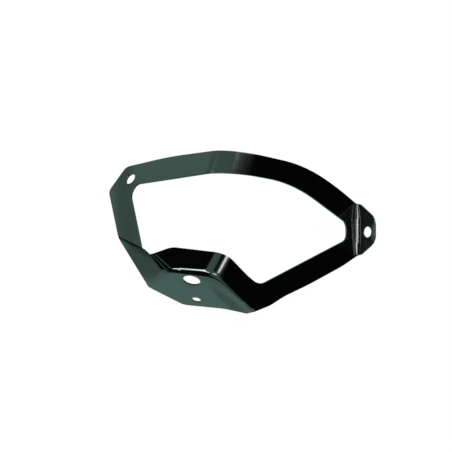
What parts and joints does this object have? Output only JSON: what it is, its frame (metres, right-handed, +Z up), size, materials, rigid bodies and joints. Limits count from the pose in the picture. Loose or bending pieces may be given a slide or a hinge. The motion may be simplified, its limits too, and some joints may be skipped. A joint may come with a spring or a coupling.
{
  "type": "fender bracket",
  "caption": "Black painted sheet-steel fender bracket: a band bent round a corner with a wide window, a folded tray and a side tab.",
  "frame": {"origin": "centre of the bolt hole in the tray, on the tray's outside face", "axes": "+Z up from the surface the bracket lies on, +X from the left wing's resting corner to the foot of the tab's fold, so the tray's outside faces about -Y"},
  "size_m": [0.181, 0.1168, 0.0769],
  "materials": {
    "black_paint": "satin black paint on pressed steel"
  },
  "bodies": {
    "root": {"bracket_plate": "black_paint"}
  },
  "joints": []
}
